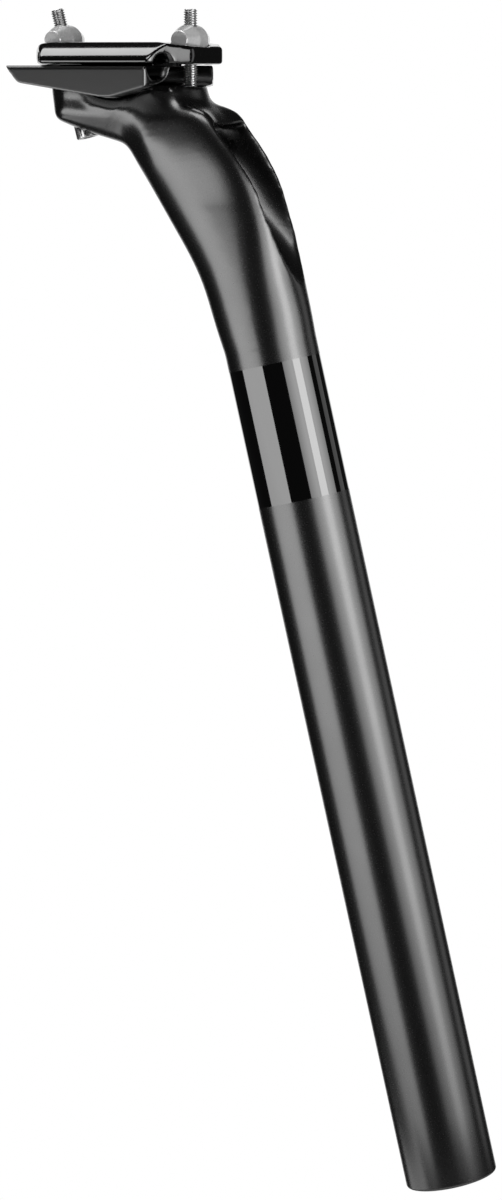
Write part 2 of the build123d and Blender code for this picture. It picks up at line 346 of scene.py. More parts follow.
@dataclass(frozen=True)
class FacedFinish(Finish):
    """A gloss finish with satin sides, where the surface faces straight across the bike.

    Attributes:
        side_shade: Linear brightness of the sides' reflection.
        side_roughness: Roughness of the sides.
        side_facing: Shares of facing across between which the sides start.
    """

    side_shade: float = 0.13
    side_roughness: float = 0.3
    side_facing: tuple[float, float] = (0.55, 0.68)

    def surface(self, sheet: NodeSheet, place: Socket) -> tuple[Socket, Socket, Socket]:
        """Lays out what varies, with the sides set apart by the way they face.

        Args:
            sheet: The node sheet to add to.
            place: Coordinates fixed to the piece.

        Returns:
            The sockets with the colour, the roughness and the grain's height.
        """
        gloss, rough, grain = super().surface(sheet, place)
        normal = sheet.add("ShaderNodeNewGeometry").outputs["Normal"]
        side = sheet.span(sheet.math("ABSOLUTE", sheet.axis(normal, "Y")), self.side_facing)
        colour = sheet.mix(Mix.RGBA, side, gloss, grey(self.side_shade))
        return colour, sheet.mix(Mix.FLOAT, side, rough, self.side_roughness), grain


SATIN_POST = BandedFinish(
    "satin_black_post", shade=0.13, roughness=0.26, roughness_play=0.015, grain_strength=0.05
)
GLOSS_CLAMP = Finish(
    "gloss_black_clamp", shade=0.14, roughness=0.1, roughness_play=0.01, grain_strength=0.04
)
SATIN_CLAMP = FacedFinish(
    "satin_black_clamp", shade=0.14, roughness=0.12, roughness_play=0.01, grain_strength=0.05
)
BOLT_STEEL = Finish("bolt_steel", shade=0.6, roughness=0.3, grain=6000.0)
NUT_STEEL = Finish("nut_steel", shade=0.97, roughness=0.26, metallic=0.5, grain=5000.0)


@dataclass
class ClampFrame:
    """Where the saddle rails lie, in metres and degrees.

    Attributes:
        setback: How far the rails' middle lies behind the tube's axis.
        rail_height: Height of the rails' middle.
        tilt: How far the rails dip to the front.
    """

    setback: float = 0.0245
    rail_height: float = 0.3415
    tilt: float = 13.2

    def along(self) -> Vector:
        """Direction along the rails, to the front."""
        return Vector((math.cos(math.radians(self.tilt)), 0.0, -math.sin(math.radians(self.tilt))))

    def up(self) -> Vector:
        """Direction square to the rails, upwards."""
        return Vector((math.sin(math.radians(self.tilt)), 0.0, math.cos(math.radians(self.tilt))))

    def middle(self) -> Vector:
        """The point midway along and between the rails."""
        return Vector((-self.setback, 0.0, self.rail_height))

    def flat(self, point: Vector) -> Vector:
        """A point's place along and above the rails."""
        off = point - self.middle()
        return Vector((off.dot(self.along()), off.dot(self.up())))


def add_object(name: str, data: bpy.types.ID) -> bpy.types.Object:
    """Adds an object to the scene.

    Args:
        name: Name of the object.
        data: Its mesh, camera or light.

    Returns:
        The object.
    """
    made = bpy.data.objects.new(name, data)
    bpy.context.scene.collection.objects.link(made)
    return made


def mesh_object(name: str, shape: bmesh.types.BMesh) -> bpy.types.Object:
    """Turns a bmesh into an object of the scene.

    Args:
        name: Name of the object.
        shape: The bmesh, which is freed.

    Returns:
        The object.
    """
    bmesh.ops.recalc_face_normals(shape, faces=shape.faces)
    data = bpy.data.meshes.new(name)
    shape.to_mesh(data)
    shape.free()
    return add_object(name, data)


def taken_up(data: bpy.types.Mesh) -> bmesh.types.BMesh:
    """Turns a mesh into a bmesh.

    Args:
        data: The mesh, which is removed.

    Returns:
        The bmesh.
    """
    shape = bmesh.new()
    shape.from_mesh(data)
    bpy.data.meshes.remove(data)
    return shape


def add_ring(shape: bmesh.types.BMesh, points: Sequence[Vector]) -> list[bmesh.types.BMVert]:
    """Adds a ring of vertices."""
    return [shape.verts.new(point) for point in points]


def bridge_rings(
    shape: bmesh.types.BMesh, first: list[bmesh.types.BMVert], second: list[bmesh.types.BMVert]
) -> None:
    """Joins two rings of the same count with quads.

    Args:
        shape: The bmesh that holds them.
        first: One ring's vertices in order.
        second: The other ring's vertices in the same order.
    """
    count = len(first)
    for index in range(count):
        after = (index + 1) % count
        shape.faces.new((first[index], first[after], second[after], second[index]))


@dataclass
class DressedPiece:
    """A piece that takes the place of a CAD solid.

    Attributes:
        name: Name of the piece.
        node: The CAD node that it replaces.
        body: The body it rides on.
        slot: Its material slot; not used.
        material: Its finish.
        rails: Where the rails lie.
        smooth_angle: Edges sharper than this stay crisp, in degrees.
    """

    name: str
    node: str
    body: Body
    slot: Slot
    material: bpy.types.Material
    rails: ClampFrame
    smooth_angle: float

    def shape(self) -> bmesh.types.BMesh:
        """The piece's closed shape in its place, which each kind of piece makes in its own way."""
        raise NotImplementedError

    def build(self) -> bpy.types.Object:
        """Builds and dresses the piece in place of its CAD solid.

        Returns:
            The piece.
        """
        piece = mesh_object(self.name, self.shape())
        piece.data.materials.append(self.material)
        piece.data.shade_smooth()
        piece.data.set_sharp_from_angle(angle=math.radians(self.smooth_angle))
        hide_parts(self.node)
        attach(piece, self.body.value)
        return piece


@dataclass
class ClampBolt(DressedPiece):
    """A socket-head bolt with a rolled thread, in metres and degrees.

    Attributes:
        place_along: Where it crosses the rails' plane.
        lean: How far its top leans to the rear.
        top: Height of its tip above the rails.
        length: From under its head to its tip.
        radius: Radius over the thread.
        pitch: Rise of one turn.
        depth: Depth of the thread, as a share of the pitch.
        crest: Flat at the thread's crest, as a share of the pitch.
        root: Flat at the thread's root, as a share of the pitch.
        tip_chamfer: Bevel at its tip.
        head_radius: Radius of its head.
        head_height: Height of its head.
        head_rounding: Rounding of the head's rim.
        seat_bevel: Bevel at the head's underside.
        socket: Across the flats of its socket.
        socket_depth: Depth of its socket.
        socket_bevel: Width of the bevel round the socket, from the middle of a flat.
        socket_bevel_depth: Depth of that bevel.
        sides: Facets round it.
        steps: Rings in one turn of the thread.
        rounding_steps: Facets across the head's rounding.
    """

    place_along: float
    lean: float
    top: float = 0.0164
    length: float = 0.0345
    radius: float = 0.002
    pitch: float = 0.0007
    depth: float = 0.6134
    crest: float = 0.125
    root: float = 0.25
    tip_chamfer: float = 0.0004
    head_radius: float = 0.0035
    head_height: float = 0.004
    head_rounding: float = 0.0004
    seat_bevel: float = 0.0001
    socket: float = 0.003
    socket_depth: float = 0.0022
    socket_bevel: float = 0.0005
    socket_bevel_depth: float = 0.0002
    sides: int = 36
    steps: int = 10
    rounding_steps: int = 4

    def turns(self) -> list[float]:
        """Places round the bolt, as shares of a turn."""
        return [index / self.sides for index in range(self.sides)]

    def thread_radius(self, height: float, turn: float) -> float:
        """Radius of the thread's surface.

        Args:
            height: Height above the head's underside.
            turn: Place round the bolt, as a share of a turn.

        Returns:
            The radius in metres.
        """
        phase = (height / self.pitch - turn) % 1.0
        off_crest = abs(phase - 0.5) * 2.0
        slope = held((off_crest - self.crest) / (1.0 - self.crest - self.root))
        bevel = self.tip_chamfer - (self.length - height)
        return self.radius - max(self.depth * self.pitch * slope, bevel)

    def socket_radius(self, turn: float) -> float:
        """Radius of the socket's hexagon.

        Args:
            turn: Place round the bolt, as a share of a turn.

        Returns:
            The radius in metres.
        """
        flats = 6
        off_flat = ((flats * turn + 0.5) % 1.0 - 0.5) * 2.0 * math.pi / flats
        return self.socket / 2.0 / math.cos(off_flat)

    def ring(self, radii: Sequence[float], height: float) -> list[Vector]:
        """A ring of points about the bolt's axis.

        Args:
            radii: Radius at each place round the bolt.
            height: Height above the head's underside.

        Returns:
            The points.
        """
        points = []
        for radius, turn in zip(radii, self.turns()):
            angle = 2.0 * math.pi * turn
            points.append(Vector((radius * math.cos(angle), radius * math.sin(angle), height)))
        return points

    def circle(self, radius: float, height: float) -> list[Vector]:
        """A round ring of points."""
        return self.ring([radius] * self.sides, height)

    def hexagon(self, height: float) -> list[Vector]:
        """A ring of points on the socket's walls."""
        return self.ring([self.socket_radius(turn) for turn in self.turns()], height)

    def thread(self, height: float) -> list[Vector]:
        """A ring of points on the thread."""
        return self.ring([self.thread_radius(height, turn) for turn in self.turns()], height)

    def shape(self) -> bmesh.types.BMesh:
        """Builds the bolt from its socket round the head to its tip, and puts it in its place.

        Returns:
            The closed shape.
        """
        base = -self.head_height
        outline = [
            self.hexagon(base + self.socket_depth),
            self.hexagon(base + self.socket_bevel_depth),
            self.circle(self.socket / 2.0 + self.socket_bevel, base),
        ]
        for step in range(self.rounding_steps + 1):
            angle = math.pi / 2.0 * step / self.rounding_steps
            inset = self.head_rounding * (1.0 - math.sin(angle))
            lift = self.head_rounding * (1.0 - math.cos(angle))
            outline.append(self.circle(self.head_radius - inset, base + lift))
        outline.append(self.circle(self.head_radius, -self.seat_bevel))
        outline.append(self.circle(self.head_radius - self.seat_bevel, 0.0))
        count = round(self.length / self.pitch * self.steps)
        outline += [self.thread(self.length * level / count) for level in range(count + 1)]
        made = bmesh.new()
        rings = [add_ring(made, points) for points in outline]
        for first, second in zip(rings, rings[1:]):
            bridge_rings(made, first, second)
        made.faces.new(rings[0])
        made.faces.new(rings[-1])
        made.transform(self.placement())
        return made

    def placement(self) -> Matrix:
        """Where the head's underside lies, with Z up the bolt.

        Returns:
            The placement.
        """
        lean = math.radians(self.lean)
        up = self.rails.up() * math.cos(lean) - self.rails.along() * math.sin(lean)
        lift = self.top / math.cos(lean) - self.length
        origin = self.rails.middle() + self.rails.along() * self.place_along + up * lift
        across = Vector((0.0, 1.0, 0.0))
        turn = Matrix((across.cross(up), across, up)).transposed()
        return Matrix.Translation(origin) @ turn.to_4x4()


def read_rows(items: bpy.types.bpy_prop_collection, name: str, kind: type) -> np.ndarray:
    """Reads a property that has three values in each item of a mesh.

    Args:
        items: The mesh's vertices, triangles or normals.
        name: Blender's name of the property.
        kind: Type of the values.

    Returns:
        One row of three values for each item.
    """
    values = np.zeros(len(items) * 3, dtype=kind)
    items.foreach_get(name, values)
    return values.reshape(-1, 3)


def dense_mesh(node: str, splits: int) -> bpy.types.Mesh:
    """Copies a CAD node's mesh with each facet split and bowed along the surface's own normals.

    Args:
        node: The CAD node.
        splits: Parts along each side of a facet.

    Returns:
        The new mesh.
    """
    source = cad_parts[node].data
    source.calc_loop_triangles()
    triangles = source.loop_triangles
    corner = read_rows(source.vertices, "co", float)[read_rows(triangles, "vertices", int)]
    normal = read_rows(source.corner_normals, "vector", float)[read_rows(triangles, "loops", int)]

    # Each new point lies at shares of the three corners, and bows towards their tangent planes.
    shares = [(i / splits, j / splits) for i in range(splits + 1) for j in range(splits + 1 - i)]
    weight = np.array([(1.0 - first - second, first, second) for first, second in shares])
    flat = np.einsum("sk,tkx->tsx", weight, corner)
    off = np.einsum("tskx,tkx->tsk", flat[:, :, None, :] - corner[:, None, :, :], normal)
    bowed = flat - BOW * np.einsum("sk,tsk,tkx->tsx", weight, off, normal)

    # The points of a facet lie in rows, each one point shorter than the row before it.
    row = [sum(splits + 1 - k for k in range(i)) for i in range(splits + 1)]
    cells = []
    for i in range(splits):
        for j in range(splits - i):
            cells.append((row[i] + j, row[i + 1] + j, row[i] + j + 1))
            if j < splits - i - 1:
                cells.append((row[i + 1] + j, row[i + 1] + j + 1, row[i] + j + 1))
    starts = np.arange(len(triangles)) * len(shares)
    faces = (np.array(cells)[None] + starts[:, None, None]).reshape(-1, 3)
    made = bpy.data.meshes.new(f"{node}_dense")
    made.from_pydata(bowed.reshape(-1, 3).tolist(), [], faces.tolist())
    return made


def softened(blank: bpy.types.Object, cell: float, passes: int) -> bmesh.types.BMesh:
    """Turns a solid into even cells with softened edges.

    Args:
        blank: The solid, which is removed.
        cell: Size of the cells, in metres.
        passes: Rounds of softening.

    Returns:
        The new shape.
    """
    cells = blank.modifiers.new("cells", "REMESH")
    cells.mode = "VOXEL"
    cells.voxel_size = cell
    soften = blank.modifiers.new("soften", "SMOOTH")
    soften.factor = SOFTENING
    soften.iterations = passes
    graph = bpy.context.evaluated_depsgraph_get()
    made = bpy.data.meshes.new_from_object(blank.evaluated_get(graph))
    # The blank goes with its mesh.
    bpy.data.meshes.remove(blank.data)
    return taken_up(made)


def keep_inside(shape: bmesh.types.BMesh, nodes: Sequence[str]) -> None:
    """Moves points that stand out of the box round some CAD nodes back onto it.

    Args:
        shape: The shape to hold in.
        nodes: The CAD nodes.
    """
    corners = [Vector(corner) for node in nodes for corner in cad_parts[node].bound_box]
    low = [min(corner[axis] for corner in corners) for axis in range(3)]
    high = [max(corner[axis] for corner in corners) for axis in range(3)]
    for vert in shape.verts:
        for axis in range(3):
            vert.co[axis] = held(vert.co[axis], low[axis], high[axis])


@dataclass(frozen=True)
class SoftSpot:
    """A stretch of a piece that flows softly, in metres in the rails' frame.

    Attributes:
        start: Place along and above the rails where it starts.
        end: Place along and above the rails where it ends.
        reach: How far from that line it reaches.
        passes: Rounds of softening in each zone.
        zones: Widths of the zones that are softened in turn, as shares of the reach.
    """

    start: tuple[float, float]
    end: tuple[float, float]
    reach: float
    passes: int
    zones: tuple[float, ...] = (1.0, 0.7, 0.4)

    def distance(self, rails: ClampFrame, point: Vector) -> float:
        """How far a point lies from the line, seen from the side.

        Args:
            rails: Where the rails lie.
            point: The point.

        Returns:
            The distance.
        """
        off, line = rails.flat(point) - Vector(self.start), Vector(self.end) - Vector(self.start)
        return (off - line * held(off.dot(line) / line.length_squared)).length

    def soften(self, shape: bmesh.types.BMesh, rails: ClampFrame) -> None:
        """Softens the stretch, most along its line.

        Args:
            shape: The piece's shape.
            rails: Where the rails lie.
        """
        away = {vert: self.distance(rails, vert.co) for vert in shape.verts}
        for zone in self.zones:
            near = [vert for vert, distance in away.items() if distance < self.reach * zone]
            for _ in range(self.passes):
                bmesh.ops.smooth_vert(
                    shape, verts=near, factor=SOFTENING, use_axis_x=True, use_axis_y=True, use_axis_z=True
                )


@dataclass(frozen=True)
class HeadSwell:
    """The head's flat flanks, which stand out from the round neck, in metres in the rails' frame.

    Attributes:
        half_width: Half width of the flat flanks before they swell.
        swell: How far the flanks swell out.
        lift: How far the recess's rims rise.
        lean: How far the overhang's flanks lean out at their top.
        fold: Heights between which the flat flanks start.
        crown: Heights between which they end under the clamp.
        run_out: Heights between which the swelling and the rims' rise start.
        slope: Heights between which the overhang's flanks lean.
        nose: Places along the rails between which the overhang turns into the neck.
        core: Half widths between which the swelling sets in.
        back: Places off the front line between which the flat flanks end, less than 0 behind it.
        front: Places off the front line between which the rims' rise sets in.
        facing: Shares of facing across between which the flat flanks set in.
        front_point: A point on the neck's front line.
        front_normal: Direction square to that line.
    """

    half_width: float = 0.0143
    swell: float = 0.0014
    lift: float = 0.0013
    lean: float = 0.0013
    fold: tuple[float, float] = (-0.0265, -0.0205)
    crown: tuple[float, float] = (-0.0150, -0.0090)
    run_out: tuple[float, float] = (-0.0400, -0.0195)
    slope: tuple[float, float] = (-0.0230, -0.0130)
    nose: tuple[float, float] = (0.0050, 0.0130)
    core: tuple[float, float] = (0.0060, 0.0110)
    back: tuple[float, float] = (-0.0180, -0.0090)
    front: tuple[float, float] = (-0.0140, -0.0040)
    facing: tuple[float, float] = (0.2, 0.6)
    front_point: tuple[float, float] = (0.0332, -0.0180)
    front_normal: tuple[float, float] = (0.786, 0.618)

    def apply(self, shape: bmesh.types.BMesh, rails: ClampFrame) -> None:
        """Swells the flanks and lifts the rims of the recess.

        Args:
            shape: The forging's shape.
            rails: Where the rails lie.
        """
        shape.normal_update()
        normal, point = Vector(self.front_normal), Vector(self.front_point)
        rise = rails.along() * normal.x + rails.up() * normal.y
        for vert, across in [(vert, vert.normal.y) for vert in shape.verts]:
            place = rails.flat(vert.co)
            side = math.copysign(1.0, vert.co.y)
            off_front = (place - point).dot(normal)
            outer = ease(abs(vert.co.y), *self.core)
            neck = ease(place.x, *self.nose)
            crown = 1.0 - ease(place.y, *self.crown)
            start = ease(place.y, *self.run_out) * crown
            hollow = max(self.half_width - abs(vert.co.y), 0.0) * ease(across * side, *self.facing)
            flat = hollow * ease(place.y, *self.fold) * crown * (1.0 - ease(off_front, *self.back)) * neck
            lean = self.lean * ease(place.y, *self.slope) * crown * (1.0 - neck)
            vert.co.y += side * outer * (flat + self.swell * start * neck + lean)
            vert.co += rise * (self.lift * start * ease(off_front, *self.front) * outer)


# Where the overhang turns into the neck, the front lug, the fold under the flanks and the recess's rims.
POST_SPOTS = (
    SoftSpot(start=(0.0040, -0.0205), end=(0.0140, -0.0100), reach=0.0075, passes=30),
    SoftSpot(start=(0.0185, -0.0110), end=(0.0260, -0.0130), reach=0.0050, passes=25),
    SoftSpot(start=(0.0120, -0.0235), end=(0.0330, -0.0205), reach=0.0070, passes=10),
    SoftSpot(start=(0.0300, -0.0160), end=(0.0450, -0.0400), reach=0.0060, passes=6),
)

# The upper clamp's front and rear ends.
UPPER_CLAMP_SPOTS = (
    SoftSpot(start=(0.0270, 0.0030), end=(0.0330, 0.0030), reach=0.0075, passes=16),
    SoftSpot(start=(-0.0235, -0.0010), end=(-0.0235, 0.0080), reach=0.0060, passes=16),
)

# The front ends of the lower clamp's wings.
LOWER_CLAMP_SPOTS = (SoftSpot(start=(0.0188, -0.0060), end=(0.0188, 0.0005), reach=0.0032, passes=10),)


@dataclass
class PostBody(DressedPiece):
    """The post: a turned tube under a forged neck and head with soft edges, in metres.

    Attributes:
        radius: Radius of the tube.
        bore: Radius of the bore.
        length: Height of the bore's round end.
        rim: Rounding of the tube's lower rim.
        join: Height where the forging meets the tube.
        collar: Height up to which the forging is a plain round.
        stub: Length below the join that is only needed while the forging is softened.
        weld: Points of the CAD mesh nearer than this are one.
        cell: Size of the forging's mesh cells.
        passes: Rounds of softening.
        splits: Parts along each side of a CAD facet.
        levels: Rings along the tube, and along the bore.
        rim_steps: Facets across the rim's rounding.
        dome_steps: Facets from the bore's wall to the middle of its end.
        spots: Stretches that flow more softly.
        flanks: The head's flat flanks.
    """

    radius: float = 0.0136
    bore: float = 0.0112
    length: float = 0.25
    rim: float = 0.001
    join: float = 0.2505
    collar: float = 0.2524
    stub: float = 0.004
    weld: float = 0.00001
    cell: float = 0.00045
    passes: int = 30
    splits: int = 3
    levels: int = 12
    rim_steps: int = 6
    dome_steps: int = 12
    spots: tuple[SoftSpot, ...] = POST_SPOTS
    flanks: HeadSwell = HeadSwell()

    def open_below(self, shape: bmesh.types.BMesh) -> None:
        """Cuts away what lies below the join and leaves the cut open.

        Args:
            shape: The shape to cut.
        """
        parts = list(shape.verts) + list(shape.edges) + list(shape.faces)
        bmesh.ops.bisect_plane(
            shape, geom=parts, plane_co=(0.0, 0.0, self.join), plane_no=(0.0, 0.0, 1.0), clear_inner=True
        )

    def blank(self) -> bpy.types.Object:
        """Builds the solid forging above the join, with a stub of tube below it.

        Returns:
            The closed solid.
        """
        shape = taken_up(dense_mesh(self.node, self.splits))
        bmesh.ops.remove_doubles(shape, verts=shape.verts, dist=self.weld)
        self.open_below(shape)
        cut = [edge for edge in shape.edges if edge.is_boundary]
        grown = bmesh.ops.extrude_edge_only(shape, edges=cut)["geom"]
        corners = [item for item in grown if isinstance(item, bmesh.types.BMVert)]
        bmesh.ops.translate(shape, verts=corners, vec=(0.0, 0.0, -self.stub))
        foot = [edge for edge in shape.edges if edge.is_boundary]
        bmesh.ops.holes_fill(shape, edges=foot, sides=0)
        return mesh_object("post_blank", shape)

    def forging(self) -> bmesh.types.BMesh:
        """Builds the forging with its soft forms, and brings its collar back to the tube's radius.

        Returns:
            The forging, open at the join.
        """
        shape = softened(self.blank(), self.cell, self.passes)
        self.open_below(shape)
        self.flanks.apply(shape, self.rails)
        for spot in self.spots:
            spot.soften(shape, self.rails)
        collar = [vert for vert in shape.verts if vert.co.z < self.collar]
        mean = sum(vert.co.xy.length for vert in collar) / len(collar)
        shape.normal_update()
        for vert, normal in [(vert, vert.normal.copy()) for vert in shape.verts]:
            vert.co += normal * (self.radius - mean)
        for vert in collar:
            vert.co.xy *= self.radius / vert.co.xy.length
        keep_inside(shape, (self.node, "lower_clamp"))
        return shape

    def profile(self) -> list[tuple[float, float]]:
        """Lists the rings below the join, down the outside, round the rim and up the bore.

        Returns:
            The radius and height of each ring.
        """
        quarter = math.pi / 2.0
        foot = self.length - self.bore
        rings = []
        for level in range(1, self.levels + 1):
            rings.append((self.radius, self.join - (self.join - self.rim) * level / self.levels))
        for step in range(1, self.rim_steps + 1):
            turn = quarter * step / self.rim_steps
            inset, lift = self.rim * (1.0 - math.cos(turn)), self.rim * (1.0 - math.sin(turn))
            rings.append((self.radius - inset, lift))
        for level in range(self.levels + 1):
            rings.append((self.bore, foot * level / self.levels))
        for step in range(1, self.dome_steps):
            turn = quarter * step / self.dome_steps
            rings.append((self.bore * math.cos(turn), foot + self.bore * math.sin(turn)))
        return rings

    def shape(self) -> bmesh.types.BMesh:
        """Builds the forging with the tube drawn down from its open ring.

        Returns:
            The closed shape.
        """
        made = self.forging()
        ring = [vert for vert in made.verts if vert.is_boundary]
        ring.sort(key=lambda vert: math.atan2(vert.co.y, vert.co.x))
        turns = [vert.co.xy.normalized() for vert in ring]
        for radius, height in self.profile():
            lower = add_ring(made, [Vector((turn.x * radius, turn.y * radius, height)) for turn in turns])
            bridge_rings(made, ring, lower)
            ring = lower
        made.faces.new(ring)
        return made


@dataclass
class SoftPiece(DressedPiece):
    """A machined piece with its edges eased, made from its CAD solid, in metres.

    Attributes:
        cell: Size of its mesh cells.
        passes: Rounds of softening.
        splits: Parts along each side of a CAD facet.
        spots: Stretches that flow more softly.
    """

    cell: float
    passes: int
    splits: int = 4
    spots: tuple[SoftSpot, ...] = ()

    def shape(self) -> bmesh.types.BMesh:
        """Builds the piece in cells that lie along the rails.

        Returns:
            The closed shape.
        """
        level = Matrix.Rotation(math.radians(self.rails.tilt), 4, "Y")
        dense = dense_mesh(self.node, self.splits)
        dense.transform(level.inverted())
        made = softened(add_object(f"{self.node}_blank", dense), self.cell, self.passes)
        made.transform(level)
        for spot in self.spots:
            spot.soften(made, self.rails)
        keep_inside(made, (self.node,))
        return made


@dataclass
class CarriedNodes:
    """Solids that keep their CAD shape and get a finish.

    Attributes:
        names: The CAD nodes.
        material: Their finish.
    """

    names: tuple[str, ...]
    material: bpy.types.Material

    def dress(self) -> list[bpy.types.Object]:
        """Dresses the nodes.

        Returns:
            The nodes' objects.
        """
        pieces = [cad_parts[name] for name in self.names]
        for piece in pieces:
            piece.data.materials.clear()
            piece.data.materials.append(self.material)
        return pieces


def aimed(position: Vector, target: Vector, roll: float) -> Matrix:
    """Where a camera or lamp stands that faces a point.

    Args:
        position: Its own place.
        target: The point that it faces.
        roll: Turn about its own axis, in degrees.

    Returns:
        The placement.
    """
    facing = (target - position).to_track_quat("-Z", "Y").to_matrix()
    facing = facing @ Matrix.Rotation(math.radians(roll), 3, "Z")
    return Matrix.Translation(position) @ facing.to_4x4()


@dataclass
class PhotoCamera:
    """The camera at the photograph's viewing angle, in metres and degrees.

    Attributes:
        azimuth: Turn about the tube from straight side-on.
        distance: Level distance from the tube's axis.
        height: Height of the lens.
        aim_across: Where its axis crosses the plane through the tube, to the right of the tube.
        aim_height: Height of that point.
        roll: Turn about its own axis.
        lens: Focal length in millimetres.
        film: Width of the film in millimetres.
    """

    azimuth: float = 20.5
    distance: float = 1.02103
    height: float = 0.2520
    aim_across: float = -0.02156
    aim_height: float = 0.18113
    roll: float = -12.363
    lens: float = 104.436
    film: float = 36.0

    def toward(self) -> Vector:
        """Level direction from the tube to the camera."""
        turn = math.radians(self.azimuth)
        return Vector((math.sin(turn), -math.cos(turn), 0.0))

    def right(self) -> Vector:
        """Level direction to the picture's right."""
        turn = math.radians(self.azimuth)
        return Vector((math.cos(turn), math.sin(turn), 0.0))

    def build(self) -> None:
        """Makes the camera and sets it as the scene's own."""
        data = bpy.data.cameras.new("photo_camera")
        data.sensor_width = self.film
        data.lens = self.lens
        camera = add_object("photo_camera", data)
        position = self.toward() * self.distance + Vector((0.0, 0.0, self.height))
        target = self.right() * self.aim_across + Vector((0.0, 0.0, self.aim_height))
        camera.matrix_world = aimed(position, target, self.roll)
        bpy.context.scene.camera = camera


@dataclass
class SoftBox:
    """A flat studio lamp that faces the post, in metres and degrees.

    Attributes:
        name: Name of the lamp.
        bearing: Turn from the camera's side of the post, to the picture's right.
        distance: Level distance from the post.
        height: Height of its middle.
        width: Width of the panel.
        tall: Height of the panel.
        radiance: How bright the panel is.
        aim_height: Height that it faces.
        roll: Turn of the panel about its own middle.
        foot: Share of its brightness at its lower edge.
        foot_end: Share of the panel's height at which that fade ends.
        side: Share of its brightness at its side edges.
        side_start: Where that fade starts, from the middle, as a share of the panel's width.
    """

    name: str
    bearing: float
    distance: float
    height: float
    width: float
    tall: float
    radiance: float
    aim_height: float
    roll: float = 0.0
    foot: float = 1.0
    foot_end: float = 0.7
    side: float = 1.0
    side_start: float = 0.2

    def shape_light(self, data: bpy.types.Light) -> None:
        """Lets the panel's light fall off to its lower edge and its sides.

        Args:
            data: The lamp's light.
        """
        data.use_nodes = True
        sheet = NodeSheet(data.node_tree)
        output = sheet.add("ShaderNodeOutputLight")
        emission = sheet.add("ShaderNodeEmission")
        sheet.link(emission.outputs[0], output.inputs["Surface"])
        place = sheet.add("ShaderNodeNewGeometry").outputs["Parametric"]
        half = 0.5
        level = sheet.span(sheet.axis(place, "Y"), (0.0, self.foot_end), (self.foot, 1.0))
        off = sheet.math("ABSOLUTE", sheet.math("SUBTRACT", sheet.axis(place, "X"), half))
        across = sheet.span(off, (self.side_start, half), (1.0, self.side))
        sheet.link(sheet.math("MULTIPLY", level, across), emission.inputs["Strength"])

    def build(self, camera: PhotoCamera) -> None:
        """Makes the lamp.

        Args:
            camera: The camera that the bearing is taken from.
        """
        data = bpy.data.lights.new(self.name, "AREA")
        data.shape = "RECTANGLE"
        data.size = self.width
        data.size_y = self.tall
        data.energy = self.radiance * math.pi * self.width * self.tall
        self.shape_light(data)
        lamp = add_object(self.name, data)
        turn = math.radians(self.bearing)
        level = camera.toward() * math.cos(turn) + camera.right() * math.sin(turn)
        position = level * self.distance + Vector((0.0, 0.0, self.height))
        lamp.visible_camera = False
        lamp.matrix_world = aimed(position, Vector((0.0, 0.0, self.aim_height)), self.roll)


